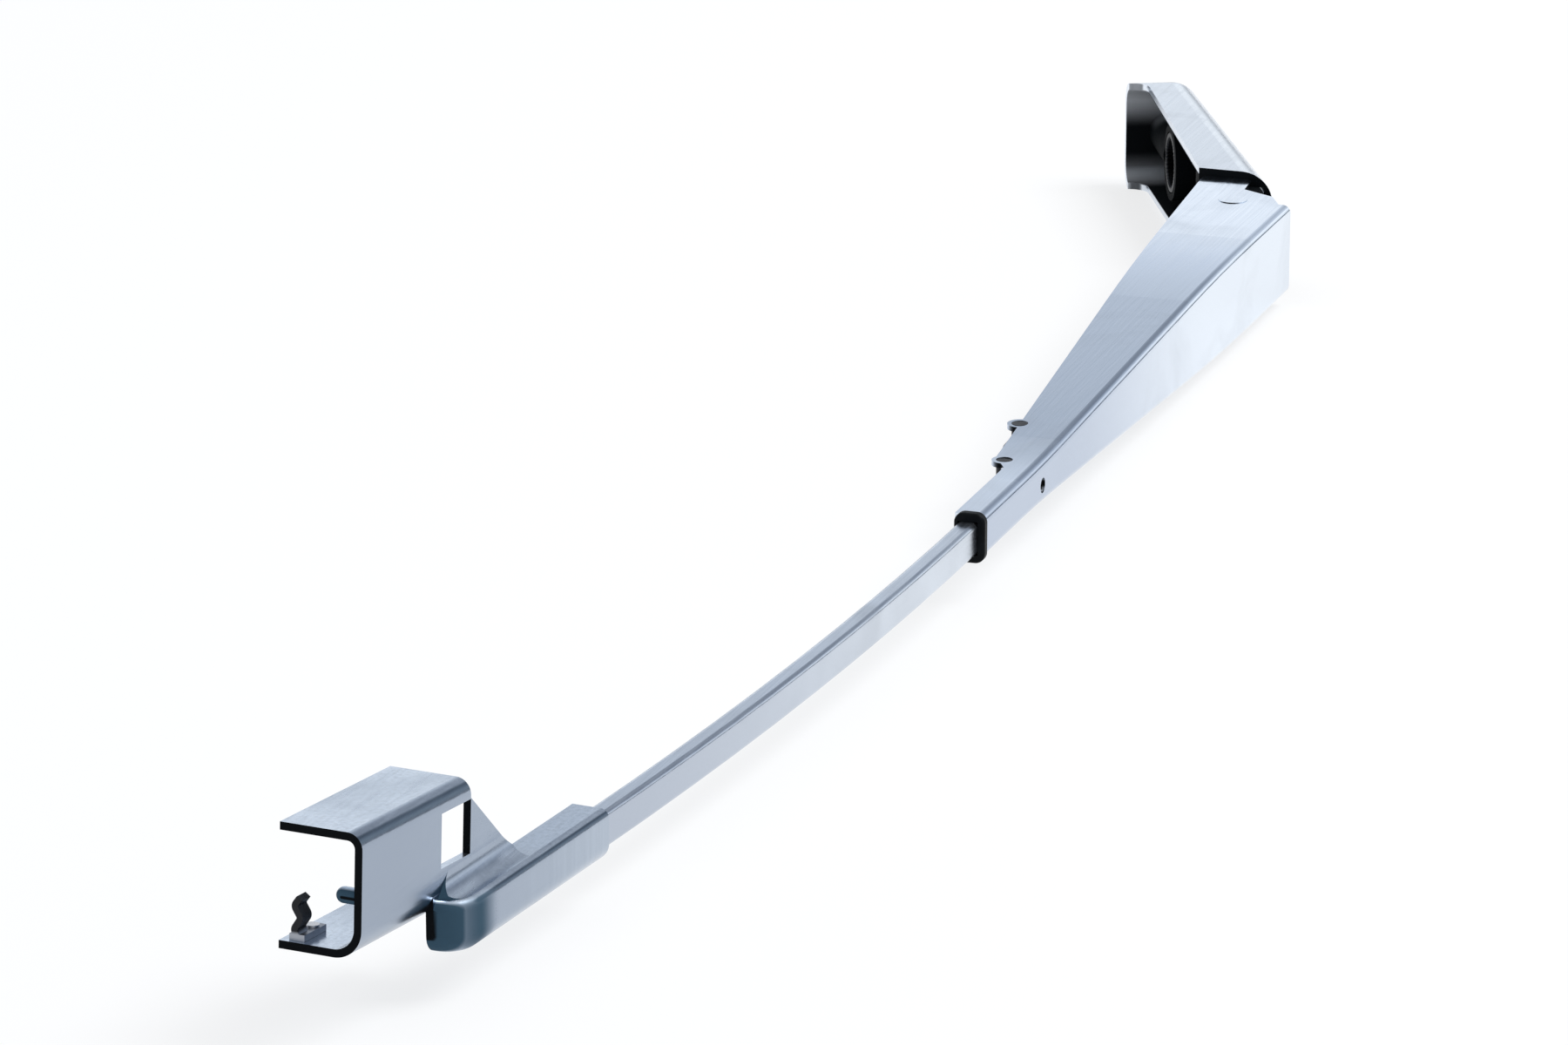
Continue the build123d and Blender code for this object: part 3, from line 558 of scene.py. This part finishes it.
def bright_steel(name, colour, rough, unshaded_foot=None):
    """Turned or pressed steel: fine rings of tool marks and a little dullness.

    The last argument holds the lighter colour of a foot outside the painted shade and the heights,
    millimetres, between which it ends.
    """
    material, tree, shader, place = new_material(name)
    shader.inputs["Metallic"].default_value = 1.0
    marks = place_group(tree, POLISH, place, {"Lines": 1.0, "Ripple": STEEL_RIPPLE})
    hands = place_group(tree, SMUDGES, place, {"Size": STEEL_SMUDGE})
    finish = mix_colour(tree, hands.outputs["Mask"], colour, shaded(colour, STEEL_SMUDGED_SHARE))
    if unshaded_foot:
        foot, low, high = unshaded_foot
        above = rise_node(tree, split_node(tree, place)["Z"], low * MM, high * MM)
        finish = mix_colour(tree, above, foot, finish)
    tree.links.new(finish, shader.inputs["Base Color"])
    spread = math_node(tree, "MULTIPLY", hands.outputs["Mask"], STEEL_SMUDGE_ROUGHNESS)
    tree.links.new(math_node(tree, "ADD", spread, rough), shader.inputs["Roughness"])
    add_bump(tree, shader, marks.outputs["Height"], STEEL_BUMP, MARK_DEPTH)
    return material


def black_plastic(name):
    """Satin moulded black with a fine grain and a rubbed, greyer bloom."""
    material, tree, shader, place = new_material(name)
    grain = add_node(tree, "ShaderNodeTexNoise", inputs={"Scale": GRAIN_SCALE, "Detail": GRAIN_DETAIL})
    tree.links.new(place, grain.inputs["Vector"])
    hands = place_group(tree, SMUDGES, place, {"Size": PLASTIC_SMUDGE})
    bloom = mix_colour(tree, hands.outputs["Mask"], PLASTIC_TONE, PLASTIC_BLOOM)
    tree.links.new(bloom, shader.inputs["Base Color"])
    shader.inputs["Specular IOR Level"].default_value = PLASTIC_SPECULAR
    spread = math_node(tree, "MULTIPLY", grain.outputs[0], GRAIN_ROUGHNESS)
    tree.links.new(math_node(tree, "ADD", spread, PLASTIC_ROUGHNESS), shader.inputs["Roughness"])
    add_bump(tree, shader, grain.outputs[0], GRAIN_BUMP, MARK_DEPTH)
    return material


def smooth_step(value, low, high):
    """0 below low, 1 above high and a smooth rise between."""
    part = np.clip((value - low) / (high - low), 0.0, 1.0)
    return part * part * (3.0 - 2.0 * part)


def tube_along(path, radius, sides=14):
    """Closed round tube: each point of path plus radius times a circle in the plane across the path.

    The two directions of that plane are carried along so that they twist as little as they can.
    """
    steps = np.gradient(path, axis=0)
    tangents = steps / np.linalg.norm(steps, axis=1, keepdims=True)
    fixed = np.array([0.0, 1.0, 0.0])
    first = np.cross(tangents, fixed)
    first /= np.linalg.norm(first, axis=1, keepdims=True)
    second = np.cross(tangents, first)
    angles = np.linspace(0.0, 2 * np.pi, sides, endpoint=False)
    ring = np.cos(angles)[None, :, None] * first[:, None] + np.sin(angles)[None, :, None] * second[:, None]
    points = path[:, None] + radius * ring
    rows = len(path)
    index = np.arange(rows * sides).reshape(rows, sides)
    right = np.roll(index, -1, axis=1)
    quads = np.stack([index[:-1], right[:-1], right[1:], index[1:]], axis=-1).reshape(-1, 4)
    faces = quads.tolist() + [index[0, ::-1].tolist(), index[-1].tolist()]
    return points.reshape(-1, 3), faces


def new_piece(name, vertices, faces, material, smooth=True):
    """Mesh object at the origin with its place in its mesh."""
    mesh = bpy.data.meshes.new(name)
    mesh.from_pydata(vertices.tolist(), [], faces)
    mesh.validate()
    mesh.polygons.foreach_set("use_smooth", np.full(len(mesh.polygons), smooth))
    mesh.materials.append(material)
    piece = bpy.data.objects.new(name, mesh)
    bpy.context.collection.objects.link(piece)
    return piece


def spring_path(length):
    """Spring's centre line in its own frame, millimetres: Z from the anchor pin to the head's pin.

    The coil is (m cos t - rise, m sin t, start + pitch t / 2 pi). Each hook leaves the coil's end along a
    smooth step to the loop's side, runs straight, and turns by HOOK_SWING round its pin.
    """
    mean = (COIL_DIAMETER - WIRE) / 2
    turns = np.linspace(0.0, 2 * np.pi * COIL_TURNS, COIL_TURNS * 24 + 1)
    climb = COIL_START + COIL_PITCH * turns / (2 * np.pi)
    coil = np.stack([mean * np.cos(turns) - COIL_RISE, mean * np.sin(turns), climb], axis=-1)
    side = mean - COIL_RISE
    ends = []
    for pin, pin_z, coil_z, way in (
        (ANCHOR_DIAMETER, 0.0, COIL_START, 1.0),
        (SPRING_PIN_DIAMETER, length, coil[-1, 2], -1.0),
    ):
        loop = pin / 2 + HOOK_GAP + WIRE / 2
        swing = np.linspace(math.radians(HOOK_SWING), 0.0, 30)
        bend = np.stack([loop * np.cos(swing), 0 * swing, pin_z - way * loop * np.sin(swing)], axis=-1)
        run = np.linspace(0.0, 1.0, 40)[1:-1]
        reach = coil_z - pin_z
        jog = smooth_step(run * abs(reach), abs(reach) - HOOK_JOG, abs(reach))
        straight = np.stack([loop + (side - loop) * jog, 0 * run, pin_z + reach * run], axis=-1)
        ends.append(np.concatenate([bend, straight]))
    return np.concatenate([ends[0], coil, ends[1][::-1]])


def tension_coil(material):
    """Wire of the tension spring, drawn between its two pins."""
    anchor = centre("spring_anchor") / MM
    lever = centre("spring_pin") / MM
    pull = lever - anchor
    length = float(np.linalg.norm(pull))
    along = pull / length
    towards = np.array([-along[1], along[0], 0.0])
    across = np.cross(along, towards)
    path = spring_path(length)
    path = anchor + path[:, :1] * towards + path[:, 1:2] * across + path[:, 2:] * along
    vertices, faces = tube_along(path, WIRE / 2)
    piece = new_piece("spring_wire", vertices * MM, faces, material)
    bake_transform(piece)
    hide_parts("tension_spring")
    return piece


def serrated_bush(material):
    """Bush of the hub with fine teeth along its bore.

    A ring section is carried round the bore's axis. Its outer radius is constant, and its inner radius is
    the bore plus TOOTH times a triangle wave of TEETH periods, so the teeth's tips lie on the bore.
    """
    around = np.linspace(0.0, 2 * np.pi, TEETH * 8, endpoint=False)
    wave = np.abs(2.0 * np.mod(around * TEETH / (2 * np.pi), 1.0) - 1.0)
    bore = HUB_BORE / 2 + TOOTH * wave
    outer = np.full_like(bore, HUB_BORE / 2 + BUSH_WALL)
    half = BUSH_LENGTH / 2
    wide_bore, narrow_outer, inset = bore + BUSH_BEVEL, outer - BUSH_BEVEL, half - BUSH_BEVEL
    radii = np.stack([wide_bore, narrow_outer, outer, outer, narrow_outer, wide_bore, bore, bore])
    heights = np.array([-half, -half, -inset, inset, half, half, inset, -inset])
    turn = math.radians(HEAD_BEND)
    forward = np.array([math.cos(turn), math.sin(turn), 0.0])
    outward = np.array([-math.sin(turn), math.cos(turn), 0.0])
    upward = np.array([0.0, 0.0, 1.0])
    ring = np.cos(around)[:, None] * forward + np.sin(around)[:, None] * upward
    points = radii[:, :, None] * ring + heights[:, None, None] * outward
    index = np.arange(radii.size).reshape(radii.shape)
    below = np.roll(index, -1, axis=0)
    quads = np.stack([index, below, np.roll(below, -1, axis=1), np.roll(index, -1, axis=1)], axis=-1)
    faces = quads.reshape(-1, 4).tolist()
    piece = new_piece("serrated_bush", points.reshape(-1, 3) * MM, faces, material, smooth=False)
    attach(piece, "head")
    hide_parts("hub_bush")


def floor_material():
    """Matt white paper that keeps the shadow; seen directly or mirrored it is close to white."""
    material = bpy.data.materials.new("paper_floor")
    material.use_nodes = True
    tree = material.node_tree
    tree.nodes.clear()
    out = add_node(tree, "ShaderNodeOutputMaterial")
    paper = add_node(tree, "ShaderNodeBsdfDiffuse", inputs={"Color": FLOOR_TONE})
    glow = add_node(tree, "ShaderNodeEmission", inputs={"Color": (1.0, 1.0, 1.0, 1.0), "Strength": 1.0})
    path = add_node(tree, "ShaderNodeLightPath")
    seen = math_node(tree, "MAXIMUM", path.outputs["Is Camera Ray"], path.outputs["Is Glossy Ray"])
    seen = math_node(tree, "MAXIMUM", seen, path.outputs["Is Transmission Ray"])
    mix = add_node(tree, "ShaderNodeMixShader")
    tree.links.new(math_node(tree, "MULTIPLY", seen, FLOOR_GLOW), mix.inputs[0])
    tree.links.new(paper.outputs[0], mix.inputs[1])
    tree.links.new(glow.outputs[0], mix.inputs[2])
    tree.links.new(mix.outputs[0], out.inputs["Surface"])
    return material


def studio_floor():
    """Wide flat sheet just under the arm's lowest point."""
    corners = np.array([[-1, -1, 0], [1, -1, 0], [1, 1, 0], [-1, 1, 0]], float) * FLOOR_REACH
    corners[:, 2] = cad_box[0][2]
    floor = new_piece("floor", corners, [[0, 1, 2, 3]], floor_material(), smooth=False)


def studio_world():
    """Room round the table, by height: a dark line at its end, a pale backdrop, a grey wall and a ceiling.

    The tones are written over their peak, which the strength puts back, so that a stop may be above white.
    """
    world = bpy.data.worlds.new("studio")
    bpy.context.scene.world = world
    world.use_nodes = True
    tree = world.node_tree
    tree.nodes.clear()
    out = add_node(tree, "ShaderNodeOutputWorld")
    sky = add_node(tree, "ShaderNodeBackground")
    around = add_node(tree, "ShaderNodeTexCoord")
    height = split_node(tree, around.outputs["Generated"])["Z"]
    stops = [
        (0.0, (0.12, 0.14, 0.17)),
        (0.06, (0.16, 0.18, 0.22)),
        (0.11, (0.88, 0.93, 0.98)),
        (0.2, (0.96, 1.0, 1.04)),
        (0.243, (1.24, 1.26, 1.28)),
        (0.258, (0.82, 0.87, 0.94)),
        (0.289, (0.64, 0.70, 0.80)),
        (0.33, (0.63, 0.68, 0.75)),
        (0.36, (0.45, 0.50, 0.58)),
        (0.43, (0.22, 0.25, 0.30)),
        (0.52, (0.30, 0.33, 0.38)),
        (0.70, (0.70, 0.73, 0.78)),
        (1.0, (1.0, 1.0, 1.0)),
    ]
    peak = max(max(tone) for _, tone in stops)
    sky.inputs["Strength"].default_value = peak
    stops = [(place, shaded(tone, 1 / peak)) for place, tone in stops]
    tree.links.new(ramp_node(tree, height, stops), sky.inputs["Color"])
    tree.links.new(sky.outputs[0], out.inputs["Surface"])


def studio_lamp(name, at, aim, size, power):
    """Square soft lamp at a place, turned to a point."""
    data = bpy.data.lights.new(name, "AREA")
    data.size = size
    data.energy = power
    lamp = bpy.data.objects.new(name, data)
    lamp.location = at
    lamp.rotation_euler = (Vector(aim) - Vector(at)).to_track_quat("-Z", "Y").to_euler()
    bpy.context.collection.objects.link(lamp)


def photo_camera():
    """Camera at the photograph's place, with its focal length and slight roll."""
    data = bpy.data.cameras.new("camera")
    data.sensor_width = SENSOR
    data.lens = FOCAL_PIXELS / PHOTO_WIDTH * SENSOR
    data.clip_end = 50.0
    camera = bpy.data.objects.new("camera", data)
    bpy.context.collection.objects.link(camera)
    aim = (Vector(CAMERA_AIM) - Vector(CAMERA_AT)).to_track_quat("-Z", "Y").to_matrix().to_4x4()
    camera.matrix_world = Matrix.Translation(CAMERA_AT) @ aim @ Matrix.Rotation(CAMERA_ROLL, 4, "Z")
    bpy.context.scene.camera = camera


def paint(node, material):
    """One material on a whole solid."""
    slots = nodes[node].data.materials
    slots.clear()
    slots.append(material)


def paint_solids():
    """Every solid that stays in view gets its finish."""
    along_arm = (1.0, 0.0, 0.0)
    along_bar = (math.cos(math.radians(BAR_TURN)), -math.sin(math.radians(BAR_TURN)), 0.0)
    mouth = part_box("arm_channel")[1][0] - MM
    # The last tuple of each chrome paints shade on its sides: where along X it starts and ends, millimetres,
    # and the tint painted there.
    channel = polished_chrome(
        "chrome_channel", (0.78, 0.85, 0.94), 0.1, (along_arm, 0.6, 1.0), dull_until=mouth,
        side_shade=(100.0, 190.0, (0.46, 0.53, 0.65)),
    )
    head = polished_chrome(
        "chrome_head", (0.92, 0.96, 1.0), 0.2, (along_arm, 0.9, 0.0), hollow=True,
        side_shade=(-60.0, -50.0, (0.70, 0.77, 0.87)),
    )
    bar = polished_chrome(
        "chrome_bar", (0.66, 0.72, 0.80), 0.16, (along_bar, 0.9, 1.0), lines=0.8,
        side_shade=(230.0, 380.0, (0.445, 0.495, 0.58)),
    )
    # The clip's ends mask starts low at cosine 0.15, so painted shade covers its sheet as it turns towards
    # its end.
    clip = polished_chrome(
        "satin_clip", (0.66, 0.74, 0.84), 0.2, (along_bar, 0.15, 1.0), lines=0.6, streaks=True,
        side_shade=(290.0, 430.0, (0.32, 0.375, 0.46)),
    )
    steel = bright_steel("bright_steel", (0.60, 0.60, 0.61), 0.22)
    dark_steel = bright_steel("black_steel", BLACK_STEEL, BLACK_STEEL_ROUGHNESS)
    # The latch tongue is near-black as painted shade above its lighter foot.
    shaded_latch_steel = bright_steel("shaded_latch_steel", BLACK_STEEL, BLACK_STEEL_ROUGHNESS, unshaded_foot=UNSHADED_FOOT)
    finishes = {
        "head_shell": head, "arm_channel": channel, "hinge_pin": channel, "arm_bar": bar,
        "saddle_clip": clip, "clamp_screw": steel, "latch_rivet": steel, "latch_tongue": shaded_latch_steel,
        "neck_collar": black_plastic("black_plastic"),
    }
    for node in nodes:
        paint(node, finishes.get(node, dark_steel))
    return dark_steel


black_steel_and_shade = paint_solids()
tension_coil(black_steel_and_shade)
# The bush takes the black steel, which inside the head's hollow also stands as painted shade.
serrated_bush(black_steel_and_shade)
studio_floor()
studio_world()
studio_lamp("key", KEY_AT, KEY_AIM, KEY_SIZE, KEY_POWER)
photo_camera()
bpy.context.scene.view_settings.view_transform = "Standard"
